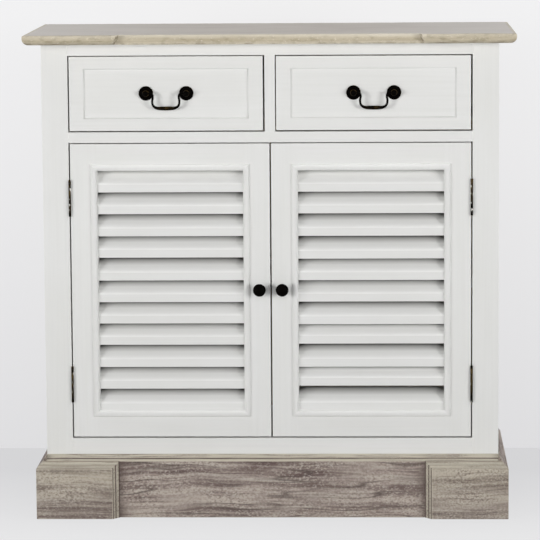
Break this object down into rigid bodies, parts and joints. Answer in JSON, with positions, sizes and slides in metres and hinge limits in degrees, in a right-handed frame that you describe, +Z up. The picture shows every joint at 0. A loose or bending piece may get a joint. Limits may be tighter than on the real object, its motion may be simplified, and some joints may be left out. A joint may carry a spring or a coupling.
{
  "type": "louvred door cabinet",
  "caption": "Free-standing white painted cupboard with drawers above louvred doors, a wooden top and a moulded plinth; doors swing, drawers slide and bail pulls lift.",
  "frame": {"origin": "on the floor under the middle of the cabinet's box", "axes": "+Z up, +X to the cabinet's right as seen from the front, -Y out of its front"},
  "size_m": [0.8, 0.35, 0.798],
  "materials": {
    "white_paint": "satin white paint on wood",
    "limewashed_top": "limewashed greige wood, matt wax",
    "weathered_plinth": "weathered grey-brown wood, dry",
    "raw_wood": "planed unfinished softwood",
    "plywood": "sanded unfinished plywood",
    "blackened_iron": "blackened bronze-brown iron, semi-matt",
    "screw_steel": "zinc-plated steel",
    "plated_steel": "nickel-plated steel",
    "catch_plastic": "moulded off-white plastic"
  },
  "bodies": {
    "carcass": {"back_panel": "plywood", "bottom_rail": "white_paint", "carcass_screws": "screw_steel", "door_catches": "catch_plastic", "drawer_mullion": "white_paint", "drawer_runners": "raw_wood", "floor_panel": "white_paint", "frame_hinge_leaves": "blackened_iron", "frame_hinge_screws": "screw_steel", "hinge_pins": "blackened_iron", "left_plinth": "weathered_plinth", "left_plinth_block": "weathered_plinth", "left_side": "white_paint", "left_stile": "white_paint", "middle_rail": "white_paint", "plinth_back": "raw_wood", "plinth_front": "weathered_plinth", "rear_rail": "raw_wood", "right_plinth": "weathered_plinth", "right_plinth_block": "weathered_plinth", "right_side": "white_paint", "right_stile": "white_paint", "shelf": "white_paint", "shelf_pins": "plated_steel", "top_board": "limewashed_top", "top_cleats": "raw_wood", "top_rail": "white_paint"},
    "left_bail": {"left_bail": "blackened_iron"},
    "left_door": {"left_door_bead": "white_paint", "left_door_bottom_rail": "white_paint", "left_door_hinge_leaves": "blackened_iron", "left_door_hinge_screws": "screw_steel", "left_door_hinge_stile": "white_paint", "left_door_knob": "blackened_iron", "left_door_lock_stile": "white_paint", "left_door_slats": "white_paint", "left_door_strike": "plated_steel", "left_door_top_rail": "white_paint"},
    "left_drawer": {"left_drawer_back": "raw_wood", "left_drawer_bottom": "plywood", "left_drawer_front": "white_paint", "left_drawer_pull_posts": "blackened_iron", "left_drawer_sides": "raw_wood"},
    "right_bail": {"right_bail": "blackened_iron"},
    "right_door": {"right_door_bead": "white_paint", "right_door_bottom_rail": "white_paint", "right_door_hinge_leaves": "blackened_iron", "right_door_hinge_screws": "screw_steel", "right_door_hinge_stile": "white_paint", "right_door_knob": "blackened_iron", "right_door_lock_stile": "white_paint", "right_door_slats": "white_paint", "right_door_strike": "plated_steel", "right_door_top_rail": "white_paint"},
    "right_drawer": {"right_drawer_back": "raw_wood", "right_drawer_bottom": "plywood", "right_drawer_front": "white_paint", "right_drawer_pull_posts": "blackened_iron", "right_drawer_sides": "raw_wood"}
  },
  "joints": [
    {"name": "left_door_hinge", "type": "hinge", "parent": "carcass", "child": "left_door", "pos_m": [-0.32875, -0.1433, 0.3755], "axis": [0, 0, -1], "range_deg": [0, 170]},
    {"name": "left_drawer_slide", "type": "slide", "parent": "carcass", "child": "left_drawer", "axis": [0, -1, 0], "range_m": [0, 0.2]},
    {"name": "left_bail_swing", "type": "hinge", "parent": "left_drawer", "child": "left_bail", "pos_m": [-0.16925, -0.147, 0.7012], "axis": [-1, 0, 0], "range_deg": [0, 100]},
    {"name": "right_door_hinge", "type": "hinge", "parent": "carcass", "child": "right_door", "pos_m": [0.32875, -0.1433, 0.3755], "axis": [0, 0, 1], "range_deg": [0, 170]},
    {"name": "right_drawer_slide", "type": "slide", "parent": "carcass", "child": "right_drawer", "axis": [0, -1, 0], "range_m": [0, 0.2]},
    {"name": "right_bail_swing", "type": "hinge", "parent": "right_drawer", "child": "right_bail", "pos_m": [0.16925, -0.147, 0.7012], "axis": [-1, 0, 0], "range_deg": [0, 100]}
  ]
}
